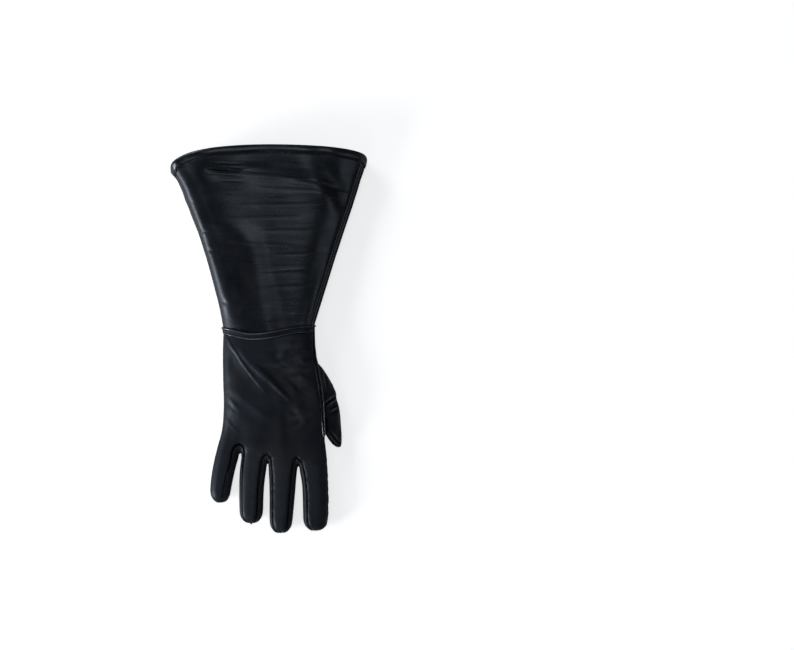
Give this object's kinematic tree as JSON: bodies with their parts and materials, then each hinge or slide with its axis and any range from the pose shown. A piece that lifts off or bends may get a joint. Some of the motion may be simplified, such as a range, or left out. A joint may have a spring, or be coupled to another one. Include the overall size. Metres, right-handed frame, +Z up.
{
  "type": "leather gauntlet glove",
  "caption": "Leather glove for the right hand, lying palm down, with a long flared forearm cuff, a bound rim, a ridged wrist band and a sewn hand with separate fingers.",
  "frame": {"origin": "on the surface that the glove lies on, under the middle of its outline", "axes": "+X towards the thumb side, +Y from the fingertips to the cuff's rim, +Z up, from the palm to the back of the hand"},
  "size_m": [0.1966, 0.3878, 0.0454],
  "materials": {
    "leather": "smooth black glove leather with a soft sheen",
    "binding": "smooth black leather strip, folded and sewn, slightly glossier than the panels"
  },
  "bodies": {
    "root": {"cuff": "leather", "cuff_hem": "binding", "cuff_side_welt": "binding", "wrist_band": "binding", "back_panel": "leather", "palm_panel": "leather", "fourchette_little_ring": "leather", "fourchette_ring_middle": "leather", "fourchette_middle_index": "leather", "hand_side_welt": "binding", "thumb": "leather"}
  },
  "joints": []
}
